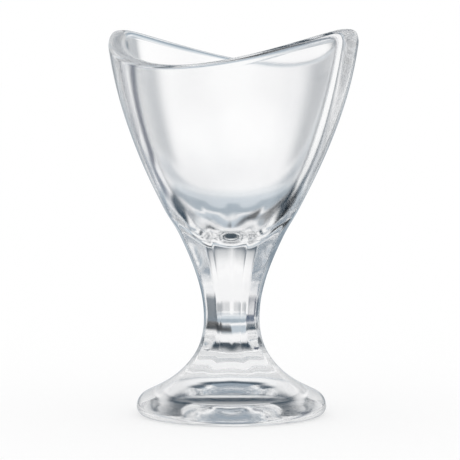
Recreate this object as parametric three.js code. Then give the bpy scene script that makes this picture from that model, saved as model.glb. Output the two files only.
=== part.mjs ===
// A clear pressed-glass eye wash cup: a pointed oval bowl with a scooped rim, a waisted stem
// pressed with flat panels, and a round foot. Millimetres, +Z up. The origin is the centre of the face
// that the cup rests on, and +X runs along the long axis of the mouth.
import * as THREE from "three";

// Foot
const footDiameter = 32;
const footHeight = 8; // up to the face that carries the stem
const footEdgeRadius = 1.4; // lower edge, where the foot meets the table
const footShoulderRadius = 2.6; // upper edge
const footSlope = 30; // degrees that the upper face falls towards the edge
const footSweep = 2.1; // length over which it keeps that slope
const kickDiameter = 23; // hollow under the foot
const kickDepth = 3.4;

// Stem
const stemLength = 19;
const waistDiameter = 9.6; // across the corners of the panels
const waistAboveFoot = 8.2;
const waistReachDown = 9; // how far the upright waist holds before it flares to the foot
const waistReachUp = 13; // and before it flares to the bowl
const panelCount = 9;
const panelDrop = 2.5; // run of the panels down the foot
const panelRise = 9; // run of the panels up the bowl
const panelArch = 6; // height of the arch that ends each panel

// Bowl
const bowlHeight = 37.7; // from the stem to the two raised tips of the rim
const mouthLength = 47; // over the lip, along X
const mouthWidth = 37.8; // over the lip, along Y
const mouthPoint = 0.6; // how pointed the mouth's ends are: 0 is an ellipse, 1 a pointed lens
const ovalStart = 1; // height above the stem where the round bowl begins to turn oval
const lipThickness = 3.2; // the lip is a full round
const wallLean = 7.2; // degrees from upright, at the lip
const wallReach = 23.7; // how far the wall holds that lean
const bowlFloor = 2.5; // solid glass between the stem and the hollow
const hollowLean = 8.5; // degrees from upright, at the lip
const hollowReach = 20; // how far the hollow's side holds that lean
const hollowFloorRadius = 8; // reach of the hollow's flat bottom
const scoopDepth = 5.8; // drop of the rim from its tips to its two low sides
const scoopReach = 22; // height of wall that bends with the rim

// Fineness of the curves
const facetsPerPanel = 6;
const edgeSteps = 4;
const flareSteps = 12;
const stemSteps = 14;
const wallSteps = 22;
const lipSteps = 8;
const hollowSteps = 14;
const kickSteps = 6;

const stemTop = footHeight + stemLength;
const rimTop = stemTop + bowlHeight;
const lipRadius = lipThickness / 2;
const lipHeight = rimTop - lipRadius;
const lipOuter = (mouthLength + mouthWidth) / 4;
const lipInner = lipOuter - lipThickness;
const hollowBottom = stemTop + bowlFloor;
const waistRadius = waistDiameter / 2;
const waistHeight = footHeight + waistAboveFoot;
const panelBottom = footHeight - panelDrop;
const panelTop = stemTop + panelRise;
const panelAngle = (2 * Math.PI) / panelCount;
const wallSlope = Math.tan(THREE.MathUtils.degToRad(wallLean));
const hollowSlope = Math.tan(THREE.MathUtils.degToRad(hollowLean));

// A point of a profile: distance from the axis, then height.
function at(radius, height) {
  return new THREE.Vector2(radius, height);
}

// Points along a round edge, from one angle to another in degrees.
function edgeArc(radius, height, size, from, to, steps) {
  const arc = new THREE.Path().absarc(
    radius,
    height,
    size,
    THREE.MathUtils.degToRad(from),
    THREE.MathUtils.degToRad(to),
    to < from,
  );
  return arc.getPoints(steps);
}

// The shoulder of the foot ends where its tangent has the slope of the upper face.
function shoulderArc() {
  return edgeArc(
    footDiameter / 2 - footShoulderRadius,
    footEdgeRadius,
    footShoulderRadius,
    0,
    90 - footSlope,
    edgeSteps,
  );
}

// The outside of the glass from the foot's shoulder, in at the waist and out to the lip.
function makeWall() {
  const shoulder = shoulderArc().at(-1);
  const slope = THREE.MathUtils.degToRad(footSlope);
  const foot = new THREE.CubicBezierCurve(
    shoulder,
    at(shoulder.x - footSweep * Math.cos(slope), shoulder.y + footSweep * Math.sin(slope)),
    at(waistRadius, waistHeight - waistReachDown),
    at(waistRadius, waistHeight),
  );
  const bowl = new THREE.CubicBezierCurve(
    at(waistRadius, waistHeight),
    at(waistRadius, waistHeight + waistReachUp),
    at(lipOuter - wallReach * wallSlope, lipHeight - wallReach),
    at(lipOuter, lipHeight),
  );
  const wall = new THREE.CurvePath();
  wall.add(foot);
  wall.add(bowl);
  return wall;
}

const wall = makeWall();

// How far along the wall a height lies, found by halving: the wall only ever rises.
function alongWall(height) {
  let low = 0;
  let high = 1;
  while (high - low > 1e-9) {
    const middle = (low + high) / 2;
    if (wall.getPointAt(middle).y < height) low = middle;
    else high = middle;
  }
  return (low + high) / 2;
}

// The stretch of wall between two heights, ending exactly on them.
function wallBetween(bottom, top, steps) {
  const start = alongWall(bottom);
  const end = alongWall(top);
  const points = [];
  for (let i = 0; i <= steps; i += 1) {
    points.push(wall.getPointAt(THREE.MathUtils.lerp(start, end, i / steps)));
  }
  points[0].y = bottom;
  points[steps].y = top;
  return points;
}

// Distance from the axis to a panel's flat, as a share of the round wall's radius: the panels
// meet at sharp corners along the stem and run out in arches at both ends.
function panelShare(height) {
  const below = THREE.MathUtils.smoothstep(panelBottom + panelArch - height, 0, panelArch);
  const above = THREE.MathUtils.smoothstep(height - panelTop + panelArch, 0, panelArch);
  return THREE.MathUtils.lerp(Math.cos(panelAngle / 2), 1, Math.max(below, above));
}

// Presses the flat panels into a point of the outer wall.
function pressPanels(point) {
  const angle = Math.atan2(point.y, point.x);
  const fromCorner = THREE.MathUtils.euclideanModulo(angle, panelAngle);
  const flat = panelShare(point.z) / Math.cos(fromCorner - panelAngle / 2);
  const share = Math.min(1, flat);
  point.x *= share;
  point.y *= share;
}

// Draws the round bowl out into a pointed oval and bends its rim down between the two tips.
function scoopRim(point) {
  const side = Math.abs(Math.sin(Math.atan2(point.y, point.x)));
  const oval = THREE.MathUtils.smoothstep(point.z, stemTop + ovalStart, lipHeight);
  const bend = Math.max(0, (point.z - rimTop + scoopReach) / scoopReach);
  const along = mouthLength / (2 * lipOuter);
  const across = (mouthWidth / (2 * lipOuter)) * side ** mouthPoint;
  point.x *= THREE.MathUtils.lerp(1, along, oval);
  point.y *= THREE.MathUtils.lerp(1, across, oval);
  point.z -= scoopDepth * side ** 2 * bend ** 2;
}

// Revolves a profile about the upright axis and shapes it. The profile runs from the axis,
// up its outside and back to the axis; its points from firstWall to lastWall carry panels.
function revolve(profile, firstWall, lastWall) {
  const lathe = new THREE.LatheGeometry(profile, panelCount * facetsPerPanel, Math.PI / 2);
  lathe.rotateX(Math.PI / 2);
  const position = lathe.getAttribute("position");
  const point = new THREE.Vector3();
  for (let i = 0; i < position.count; i += 1) {
    const row = i % profile.length;
    point.fromBufferAttribute(position, i);
    if (row >= firstWall && row <= lastWall) pressPanels(point);
    scoopRim(point);
    position.setXYZ(i, point.x, point.y, point.z);
  }
  lathe.computeVertexNormals();
  return lathe;
}

// Clear glass, with a faint cool tint where it is thick.
function clearGlass() {
  return new THREE.MeshStandardMaterial({ color: 0xe9f1f4, roughness: 0.03, metalness: 0 });
}

function namedPiece(name, geometry) {
  const piece = new THREE.Mesh(geometry, clearGlass());
  piece.name = name;
  return piece;
}

// The foot rests on a flat ring round a domed hollow.
function makeFoot() {
  const kick = new THREE.QuadraticBezierCurve(
    at(0, kickDepth),
    at(kickDiameter / 4, kickDepth),
    at(kickDiameter / 2, 0),
  ).getPoints(kickSteps);
  const restEdge = footDiameter / 2 - footEdgeRadius;
  const edge = edgeArc(restEdge, footEdgeRadius, footEdgeRadius, -90, 0, edgeSteps);
  const shoulder = shoulderArc();
  const flare = wallBetween(shoulder.at(-1).y, footHeight, flareSteps);
  const outside = [...kick, ...edge, ...shoulder.slice(1, -1), ...flare];
  const profile = [...outside, at(0, footHeight)];
  return namedPiece("foot", revolve(profile, outside.length - flare.length, outside.length - 1));
}

function makeStem() {
  const side = wallBetween(footHeight, stemTop, stemSteps);
  const profile = [at(0, footHeight), ...side, at(0, stemTop)];
  return namedPiece("stem", revolve(profile, 1, side.length));
}

// The bowl is hollow from its round lip down to a thick floor.
function makeBowl() {
  const side = wallBetween(stemTop, lipHeight, wallSteps);
  const lip = edgeArc(lipOuter - lipRadius, lipHeight, lipRadius, 0, 180, lipSteps);
  const hollow = new THREE.CubicBezierCurve(
    at(lipInner, lipHeight),
    at(lipInner - hollowReach * hollowSlope, lipHeight - hollowReach),
    at(hollowFloorRadius, hollowBottom),
    at(0, hollowBottom),
  ).getPoints(hollowSteps);
  const profile = [at(0, stemTop), ...side, ...lip.slice(1), ...hollow.slice(1)];
  return namedPiece("bowl", revolve(profile, 1, side.length));
}

const eyeWashCup = new THREE.Group();
eyeWashCup.add(makeFoot(), makeStem(), makeBowl());

export default eyeWashCup;
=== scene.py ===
# %% [markdown]
# # A pressed-glass eye wash cup
# The cup is one continuous piece of clear glass: a pointed oval bowl with a scooped rim, a
# waisted stem pressed with flat panels, and a round foot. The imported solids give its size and
# place. They are three separate pieces, though, and light would bend at every face where two of
# them meet, so the scene makes the glass again as a single closed skin and lets it stand for all
# three.

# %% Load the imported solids
import math

import bmesh
import bpy
from mathutils import Matrix, Vector
from mathutils.geometry import interpolate_bezier


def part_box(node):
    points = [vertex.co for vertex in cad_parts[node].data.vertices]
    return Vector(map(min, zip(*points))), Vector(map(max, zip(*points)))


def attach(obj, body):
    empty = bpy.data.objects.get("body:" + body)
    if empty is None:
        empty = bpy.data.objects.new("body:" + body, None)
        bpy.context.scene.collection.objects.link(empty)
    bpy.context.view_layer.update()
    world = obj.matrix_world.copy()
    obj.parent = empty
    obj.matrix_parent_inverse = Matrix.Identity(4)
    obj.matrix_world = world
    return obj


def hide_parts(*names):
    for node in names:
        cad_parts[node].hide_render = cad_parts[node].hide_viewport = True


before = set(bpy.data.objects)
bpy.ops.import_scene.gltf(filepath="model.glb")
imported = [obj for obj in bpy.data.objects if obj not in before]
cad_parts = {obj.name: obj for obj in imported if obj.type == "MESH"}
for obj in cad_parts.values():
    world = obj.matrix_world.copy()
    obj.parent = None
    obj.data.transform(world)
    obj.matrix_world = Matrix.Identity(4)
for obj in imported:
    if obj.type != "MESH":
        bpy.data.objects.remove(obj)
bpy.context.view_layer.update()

MM = 0.001
foot_low, foot_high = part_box("foot")
stem_low, stem_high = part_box("stem")
bowl_low, bowl_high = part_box("bowl")
print("solids:", sorted(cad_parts), "height", round(bowl_high.z / MM, 1), "mm")

# %% [markdown]
# ## Heights and widths
# The overall sizes come from the boxes of the solids, so the glass stays where the frame is.
# The finer sizes, such as the radius of an edge, are those of the solids too, and are written
# here once each.

# %% Sizes of the glass
foot_radius = foot_high.x
foot_top = foot_high.z
stem_top = stem_high.z
rim_top = bowl_high.z
mouth_length = bowl_high.x - bowl_low.x
mouth_width = bowl_high.y - bowl_low.y
lip_outer = (mouth_length + mouth_width) / 4

foot_edge = 1.4 * MM
foot_shoulder = 2.6 * MM
foot_slope = math.radians(30)
foot_sweep = 2.1 * MM
kick_radius = 11.5 * MM
kick_depth = 3.4 * MM
waist_radius = 4.8 * MM
waist_height = foot_top + 8.2 * MM
waist_reach_down = 9 * MM
waist_reach_up = 13 * MM
lip_radius = 1.6 * MM
lip_height = rim_top - lip_radius
wall_slope = math.tan(math.radians(7.2))
wall_reach = 23.7 * MM
hollow_bottom = stem_top + 2.5 * MM
hollow_slope = math.tan(math.radians(8.5))
hollow_reach = 20 * MM
hollow_floor = 8 * MM
print("mouth", round(mouth_length / MM, 1), "by", round(mouth_width / MM, 1), "mm")

# %% [markdown]
# ## Half of the cup's section
# A turned shape needs only the line that is spun. This one starts on the axis under the foot,
# runs out and round the foot's edge, in at the waist, out to the lip, over it, and down the
# hollow to the axis again. Round edges are arcs, and the long sweeps are curves with two
# handles, so a handful of sizes holds the whole form. Clear glass shows every facet, so the
# curves have many steps.

# %% Curves of the section
def arc(radius, height, size, start, end, steps):
    """Points on a round edge, from one angle to another in degrees."""
    turns = [math.radians(start + (end - start) * i / steps) for i in range(steps + 1)]
    return [(radius + size * math.cos(a), height + size * math.sin(a)) for a in turns]


def sweep(start, first_handle, second_handle, end, steps):
    """Points on a curve that leaves and arrives along its two handles."""
    corners = [Vector(p) for p in (start, first_handle, second_handle, end)]
    return [tuple(p) for p in interpolate_bezier(*corners, steps + 1)]


kick_steps = 16
edge_steps = 10
shoulder_steps = 12
flare_steps = 60
side_steps = 110
lip_steps = 20
hollow_steps = 70

kick = sweep(
    (0, kick_depth),
    (kick_radius / 3, kick_depth),
    (2 * kick_radius / 3, kick_depth * 2 / 3),
    (kick_radius, 0),
    kick_steps,
)
edge = arc(foot_radius - foot_edge, foot_edge, foot_edge, -90, 0, edge_steps)
shoulder = arc(
    foot_radius - foot_shoulder,
    foot_edge,
    foot_shoulder,
    0,
    90 - math.degrees(foot_slope),
    shoulder_steps,
)
shoulder_end = shoulder[-1]
flare = sweep(
    shoulder_end,
    (
        shoulder_end[0] - foot_sweep * math.cos(foot_slope),
        shoulder_end[1] + foot_sweep * math.sin(foot_slope),
    ),
    (waist_radius, waist_height - waist_reach_down),
    (waist_radius, waist_height),
    flare_steps,
)
side = sweep(
    (waist_radius, waist_height),
    (waist_radius, waist_height + waist_reach_up),
    (lip_outer - wall_reach * wall_slope, lip_height - wall_reach),
    (lip_outer, lip_height),
    side_steps,
)
lip = arc(lip_outer - lip_radius, lip_height, lip_radius, 0, 180, lip_steps)
hollow = sweep(
    (lip_outer - 2 * lip_radius, lip_height),
    (lip_outer - 2 * lip_radius - hollow_reach * hollow_slope, lip_height - hollow_reach),
    (hollow_floor, hollow_bottom),
    (0, hollow_bottom),
    hollow_steps,
)
section = kick + edge + shoulder[1:] + flare[1:] + side[1:] + lip[1:] + hollow[1:]
wall_rows = range(len(kick + edge + shoulder) - 2, len(section) - len(lip + hollow) + 2)
print("section of", len(section), "points")

# %% [markdown]
# ## Spin the section into glass
# The spin operator turns the line about the upright axis and merges the last turn with the
# first. The number of turns is a multiple of the panels, so that an edge falls on every corner
# between two panels.

# %% Spin
panel_count = 9
turns_per_panel = 28

glass_mesh = bmesh.new()
on_wall = glass_mesh.verts.layers.float.new("on_wall")
line = [glass_mesh.verts.new((r, 0, z)) for r, z in section]
for row in wall_rows:
    line[row][on_wall] = 1
edges = [glass_mesh.edges.new(pair) for pair in zip(line, line[1:])]
bmesh.ops.spin(
    glass_mesh,
    geom=line + edges,
    axis=(0, 0, 1),
    cent=(0, 0, 0),
    angle=2 * math.pi,
    steps=panel_count * turns_per_panel,
    use_merge=True,
)
merge_distance = 0.001 * MM
bmesh.ops.remove_doubles(glass_mesh, verts=glass_mesh.verts, dist=merge_distance)
print("spun", len(glass_mesh.verts), "vertices,", len(glass_mesh.faces), "faces")

# %% [markdown]
# ## Press the panels
# The mould leaves flat panels along the stem, which run out in small arches on the foot and on
# the bowl. Each point of the outer wall is drawn in to the flat of its panel. A soft minimum
# joins the flat and the round, because fire-polished glass has no sharp edge.

# %% Panels
panel_bottom = foot_top - 2.5 * MM
panel_top = stem_top + 9 * MM
panel_arch = 6 * MM
panel_softness = 0.03
panel_angle = 2 * math.pi / panel_count


def smooth_step(value, low, high):
    """Rises gently from 0 at low to 1 at high."""
    share = min(1, max(0, (value - low) / (high - low)))
    return share * share * (3 - 2 * share)


def soft_minimum(a, b, softness):
    """The smaller of two numbers, rounded where they meet."""
    near = max(0, softness - abs(a - b)) / softness
    return min(a, b) - near * near * softness / 4


def press_panel(vert):
    """Draws a point of the outer wall in to its panel."""
    below = 1 - smooth_step(vert.co.z, panel_bottom, panel_bottom + panel_arch)
    above = smooth_step(vert.co.z, panel_top - panel_arch, panel_top)
    fade = max(below, above)
    flat = math.cos(panel_angle / 2) * (1 - fade) + (1 + panel_softness) * fade
    turn = math.atan2(vert.co.y, vert.co.x) % panel_angle - panel_angle / 2
    share = soft_minimum(1, flat / math.cos(turn), panel_softness)
    vert.co.x *= share
    vert.co.y *= share


pressed = [v for v in glass_mesh.verts if v[on_wall] > 0.5]
for vert in pressed:
    press_panel(vert)
print("pressed", len(pressed), "points of the wall")

# %% [markdown]
# ## Scoop the rim
# The mouth is drawn out into a pointed oval, and its rim is bent down between two raised tips, so
# that it seats round an eye. Both changes fade out down the bowl, which keeps the wall smooth.
# The ends of the oval are slightly rounded in plan, and the lip's outer edge is crisper there.

# %% Oval mouth and scooped rim
mouth_point = 0.6
tip_round = 0.12
tip_squareness = 4
oval_start = stem_top + 1 * MM
scoop_depth = 5.8 * MM
scoop_reach = 22 * MM
tip_focus = 8


def scoop(vert):
    """Draws a point of the bowl into the oval and bends it down with the rim."""
    side = abs(math.sin(math.atan2(vert.co.y, vert.co.x)))
    oval = smooth_step(vert.co.z, oval_start, lip_height)
    bend = max(0, (vert.co.z - rim_top + scoop_reach) / scoop_reach)
    along = mouth_length / (2 * lip_outer)
    rounded = (side**2 + tip_round) / (1 + tip_round)
    across = mouth_width / (2 * lip_outer) * rounded ** (mouth_point / 2)
    vert.co.x *= 1 + (along - 1) * oval
    vert.co.y *= 1 + (across - 1) * oval
    vert.co.z -= scoop_depth * side**2 * bend**2


def square_tip(vert):
    """Makes the outer edge of the lip crisper towards the two tips."""
    radius = math.hypot(vert.co.x, vert.co.y)
    out = (radius - lip_outer + lip_radius) / lip_radius
    up = (vert.co.z - lip_height) / lip_radius
    if out > 0 and up > 0:
        tip = abs(vert.co.x / radius) ** tip_focus
        square = (out**tip_squareness + up**tip_squareness) ** (-1 / tip_squareness)
        grow = 1 + tip * (square - 1)
        new_radius = lip_outer + lip_radius * (out * grow - 1)
        vert.co.x *= new_radius / radius
        vert.co.y *= new_radius / radius
        vert.co.z = lip_height + lip_radius * up * grow


for vert in glass_mesh.verts:
    square_tip(vert)
    scoop(vert)
bmesh.ops.recalc_face_normals(glass_mesh, faces=glass_mesh.faces)
for face in glass_mesh.faces:
    face.smooth = True
CUBIC_CM = (10 * MM) ** 3
print("glass volume", round(glass_mesh.calc_volume() / CUBIC_CM, 1), "ml")

# %% [markdown]
# ## One piece of glass
# Nothing on the cup moves, so the whole skin rides on the root body and stands for all three
# solids. It has one material slot, as the real cup has one material.

# %% Keep the glass as one piece
glass_data = bpy.data.meshes.new("cup_glass")
glass_mesh.to_mesh(glass_data)
glass_mesh.free()
cup_glass = bpy.data.objects.new("cup_glass", glass_data)
bpy.context.scene.collection.objects.link(cup_glass)
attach(cup_glass, "root")
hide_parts("bowl", "stem", "foot")
print("triangles:", sum(len(p.vertices) - 2 for p in glass_data.polygons))

# %% [markdown]
# ## Clear glass
# Soda glass bends light by about 1.52. Old pressed glass isn't perfectly even: its skin is a
# little dull, and a faint bloom darkens it in soft patches, which come from noise that is fixed
# to the object. Where a wall is seen edge-on, painted shade darkens its colour to blue-grey and
# draws dark outlines. The numbers that are the same all over sit on the shader's own sockets.

# %% Glass material
clear_glass = bpy.data.materials.new("clear_glass")
clear_glass.use_nodes = True
glass_nodes = clear_glass.node_tree.nodes
glass_links = clear_glass.node_tree.links
shader = glass_nodes["Principled BSDF"]
shader.inputs["Roughness"].default_value = 0.085
shader.inputs["IOR"].default_value = 1.52
shader.inputs["Transmission Weight"].default_value = 1
print("glass index", shader.inputs["IOR"].default_value)

# %% Bloom in soft patches
place = glass_nodes.new("ShaderNodeTexCoord")
bloom = glass_nodes.new("ShaderNodeTexNoise")
bloom.inputs["Scale"].default_value = 70
bloom.inputs["Detail"].default_value = 1
bloom_tone = glass_nodes.new("ShaderNodeValToRGB")
bloom_tone.color_ramp.elements[0].position = 0.35
bloom_tone.color_ramp.elements[0].color = (0.935, 0.935, 0.94, 1)
bloom_tone.color_ramp.elements[1].position = 0.62
bloom_tone.color_ramp.elements[1].color = (0.997, 0.998, 0.999, 1)
glass_links.new(place.outputs["Object"], bloom.inputs["Vector"])
glass_links.new(bloom.outputs["Fac"], bloom_tone.inputs["Fac"])
print("bloom from", bloom_tone.color_ramp.elements[0].position, "of the noise")

# %% Painted shade on edges seen edge-on
# Painted shade: the colour darkens to blue-grey where a wall is seen edge-on, drawing dark
# outlines.
painted_edge_facing = glass_nodes.new("ShaderNodeLayerWeight")
painted_edge_facing.inputs["Blend"].default_value = 0.5
painted_edge_shade_tone = glass_nodes.new("ShaderNodeValToRGB")
painted_edge_shade_tone.color_ramp.elements[0].position = 0.68
painted_edge_shade_tone.color_ramp.elements[0].color = (1, 1, 1, 1)
painted_edge_shade_tone.color_ramp.elements[1].position = 0.88
painted_edge_shade_tone.color_ramp.elements[1].color = (0.08, 0.12, 0.16, 1)
# The base colour is the random bloom multiplied by the painted edge shade.
bloom_and_painted_edge_shade = glass_nodes.new("ShaderNodeMix")
bloom_and_painted_edge_shade.data_type = "RGBA"
bloom_and_painted_edge_shade.blend_type = "MULTIPLY"
bloom_and_painted_edge_shade.inputs["Factor"].default_value = 1
glass_links.new(painted_edge_facing.outputs["Facing"], painted_edge_shade_tone.inputs["Fac"])
glass_links.new(bloom_tone.outputs["Color"], bloom_and_painted_edge_shade.inputs["A"])
glass_links.new(painted_edge_shade_tone.outputs["Color"], bloom_and_painted_edge_shade.inputs["B"])
glass_links.new(bloom_and_painted_edge_shade.outputs["Result"], shader.inputs["Base Color"])

glass_data.materials.append(clear_glass)
print("nodes in the glass:", len(glass_nodes))

# %% [markdown]
# ## Camera
# The photograph is taken from close to the height of the rim, with one tip of the mouth turned
# a little towards the viewer.

# %% Camera
view_turn = math.radians(32)
view_distance = 430 * MM
view_height = 61.5 * MM
aim_height = 31.1 * MM
frame_width = 77.3 * MM
aim_left = 0.25 * MM
sensor_width = 36
to_right = Vector((math.cos(view_turn), math.sin(view_turn), 0))
to_viewer = Vector((math.sin(view_turn), -math.cos(view_turn), 0))

camera_data = bpy.data.cameras.new("camera")
camera = bpy.data.objects.new("camera", camera_data)
bpy.context.scene.collection.objects.link(camera)
bpy.context.scene.camera = camera
camera.location = to_viewer * view_distance + Vector((0, 0, view_height))
aim = Vector((0, 0, aim_height)) - to_right * aim_left
sight = aim - camera.location
camera.rotation_euler = sight.to_track_quat("-Z", "Y").to_euler()
camera_data.sensor_width = sensor_width
camera_data.lens = sensor_width * sight.length / frame_width
camera_data.clip_start = 1 * MM
print("camera at", [round(c / MM) for c in camera.location], "mm, lens", round(camera_data.lens))

# %% [markdown]
# ## White studio
# Clear glass shows only what is around it, so the world and the floor are white. The floor's
# paper gives part of its light itself, which keeps it white and leaves the cup a faint shadow.

# %% World and floor
world = bpy.data.worlds.new("studio")
bpy.context.scene.world = world
world.use_nodes = True
world.node_tree.nodes["Background"].inputs["Color"].default_value = (1, 1, 1, 1)
world.node_tree.nodes["Background"].inputs["Strength"].default_value = 1

floor_reach = 3
paper_grey = 0.4
paper_glow = 0.6

floor_mesh = bmesh.new()
bmesh.ops.create_grid(floor_mesh, x_segments=1, y_segments=1, size=floor_reach)
floor_data = bpy.data.meshes.new("floor")
floor_mesh.to_mesh(floor_data)
floor_mesh.free()
floor = bpy.data.objects.new("floor", floor_data)
bpy.context.scene.collection.objects.link(floor)
floor_paper = bpy.data.materials.new("floor_paper")
floor_paper.use_nodes = True
floor_shader = floor_paper.node_tree.nodes["Principled BSDF"]
floor_shader.inputs["Base Color"].default_value = (paper_grey, paper_grey, paper_grey, 1)
floor_shader.inputs["Emission Color"].default_value = (1, 1, 1, 1)
floor_shader.inputs["Emission Strength"].default_value = paper_glow
floor_shader.inputs["Roughness"].default_value = 1
floor_shader.inputs["Specular IOR Level"].default_value = 0
floor_data.materials.append(floor_paper)
print("floor of", 2 * floor_reach, "m each way")

# %% [markdown]
# ## Cards
# Glass on a bright field is drawn by what lies just outside the picture: its edges bend light in
# from the sides, so grey cards there give it grey outlines. Each card has soft edges, because a
# hard edge would show in the glass as a line. The camera and the floor don't see the cards.

# %% Soft card
card_cells = 20
card_fade = 0.25


def soft_card(name, width, height, facing, place, colour):
    """A card with edges that fade out, turned to face one way."""
    mesh = bmesh.new()
    fade = mesh.verts.layers.float.new("fade")
    bmesh.ops.create_grid(mesh, x_segments=card_cells, y_segments=card_cells, size=0.5)
    for vert in mesh.verts:
        inside = [smooth_step(0.5 - abs(c), 0, card_fade) for c in vert.co.xy]
        vert[fade] = inside[0] * inside[1]
        vert.co.x *= width
        vert.co.y *= height
    bmesh.ops.rotate(mesh, cent=(0, 0, 0), matrix=facing, verts=mesh.verts)
    bmesh.ops.translate(mesh, vec=place, verts=mesh.verts)
    data = bpy.data.meshes.new(name)
    mesh.to_mesh(data)
    mesh.free()

    material = bpy.data.materials.new(name)
    material.use_nodes = True
    nodes = material.node_tree.nodes
    links = material.node_tree.links
    nodes.clear()
    share = nodes.new("ShaderNodeAttribute")
    share.attribute_name = "fade"
    clear = nodes.new("ShaderNodeBsdfTransparent")
    glow = nodes.new("ShaderNodeEmission")
    glow.inputs["Color"].default_value = (*colour, 1)
    blend = nodes.new("ShaderNodeMixShader")
    output = nodes.new("ShaderNodeOutputMaterial")
    links.new(share.outputs["Fac"], blend.inputs[0])
    links.new(clear.outputs[0], blend.inputs[1])
    links.new(glow.outputs[0], blend.inputs[2])
    links.new(blend.outputs[0], output.inputs[0])
    data.materials.append(material)

    made = bpy.data.objects.new(name, data)
    bpy.context.scene.collection.objects.link(made)
    made.visible_camera = False
    made.visible_diffuse = False
    made.visible_shadow = False
    print("card", name, "of", round(width / MM), "by", round(height / MM), "mm")


# %% [markdown]
# ## Where the cards go
# A card's place is given as seen from the cup: so many degrees round to the right from straight
# ahead of the viewer, and so many up. Lying cards are stacked in thin layers, because two cards
# at the same height would flicker where they cross.

# %% Hanging cards and lying cards
bowl_middle = Vector((0, 0, 50 * MM))
card_lift = 0.1 * MM


def level(round_to_right):
    """The level direction so many degrees round to the right from straight ahead."""
    turn = math.radians(round_to_right)
    return -to_viewer * math.cos(turn) + to_right * math.sin(turn)


def hang_card(name, round_to_right, up, distance, width, height, colour):
    """A card that hangs in one direction from the bowl and faces it."""
    rise = math.radians(up)
    direction = level(round_to_right) * math.cos(rise) + Vector((0, 0, math.sin(rise)))
    facing = (-direction).to_track_quat("Z", "Y").to_matrix()
    soft_card(name, width, height, facing, bowl_middle + direction * distance, colour)


def lay_card(name, layer, round_to_right, near, far, width, colour):
    """A card that lies on the floor, from near to far in one direction from the foot."""
    along = level(round_to_right)
    facing = Matrix.Rotation(math.atan2(along.y, along.x) - math.pi / 2, 3, "Z")
    place = along * (near + far) / 2 + Vector((0, 0, card_lift * layer))
    soft_card(name, width, far - near, facing, place, colour)


# %% [markdown]
# ## Hang and lay the cards
# The ceiling and the upper card darken the foot and the top of the stem. Walls at the sides and
# behind shade the bowl's sides, and two small flags draw its inner wall as dark lines. The mats
# fade the bowl's bottom to grey, the strips and patches set dark streaks under it, and the pad
# under the foot darkens its middle.

# %% Hanging cards
# Name, degrees to the right, degrees up, distance, width, height, colour
hang_card("ceiling_card", 0, 90, 0.5, 1.6, 1.6, (0.28, 0.34, 0.4))
hang_card("upper_card", 0, 50, 0.7, 1.2, 0.75, (0.02, 0.05, 0.08))
hang_card("left_wall", -80, 5, 0.6, 0.8, 0.6, (0.5, 0.55, 0.6))
hang_card("right_wall", 80, 5, 0.6, 0.8, 0.6, (0.4, 0.46, 0.51))
hang_card("left_back_wall", -20, -2.5, 0.7, 0.3, 0.13, (0.5, 0.52, 0.54))
hang_card("right_back_wall", 20, -2.5, 0.7, 0.3, 0.13, (0.42, 0.44, 0.46))
hang_card("left_flag", -46, -9, 0.2, 0.05, 0.1, (0.0, 0.02, 0.07))
hang_card("right_flag", 37, -7, 0.2, 0.035, 0.09, (0.1, 0.13, 0.16))

# %% Lying cards
# Name, layer, degrees to the right, near end, far end, width, colour
lay_card("left_back_mat", 1, -22, 160 * MM, 700 * MM, 200 * MM, (0.5, 0.54, 0.58))
lay_card("right_back_mat", 1, 22, 160 * MM, 700 * MM, 200 * MM, (0.5, 0.54, 0.58))
lay_card("far_mat", 2, 0, 88 * MM, 340 * MM, 180 * MM, (0.84, 0.87, 0.89))
lay_card("middle_mat", 3, 0, 88 * MM, 240 * MM, 180 * MM, (0.62, 0.68, 0.73))
lay_card("near_mat", 4, 0, 88 * MM, 160 * MM, 180 * MM, (0.34, 0.41, 0.47))
lay_card("left_strip", 5, -38, 50 * MM, 330 * MM, 40 * MM, (0.01, 0.05, 0.12))
lay_card("near_strip", 4, 0, 34 * MM, 82 * MM, 70 * MM, (0.5, 0.57, 0.63))
lay_card("right_strip", 5, 36, 50 * MM, 300 * MM, 50 * MM, (0.1, 0.14, 0.18))
lay_card("right_patch", 6, 28, 32 * MM, 108 * MM, 60 * MM, (0.003, 0.006, 0.01))
lay_card("right_side_mat", 7, 75, 28 * MM, 80 * MM, 70 * MM, (0.01, 0.03, 0.05))
lay_card("left_side_mat", 7, -55, 30 * MM, 80 * MM, 60 * MM, (0.02, 0.05, 0.08))
lay_card("foot_pad", 8, 0, -11 * MM, 11 * MM, 22 * MM, (0.01, 0.03, 0.05))

# %% [markdown]
# ## Finish
# Light that is caught inside the glass is reflected many times before it leaves, so it is
# followed for many bounces.

# %% Finish
light_bounces = 64
bpy.context.scene.view_settings.view_transform = "Standard"
bpy.context.scene.cycles.max_bounces = light_bounces
bpy.context.scene.cycles.glossy_bounces = light_bounces
bpy.context.scene.cycles.transmission_bounces = light_bounces
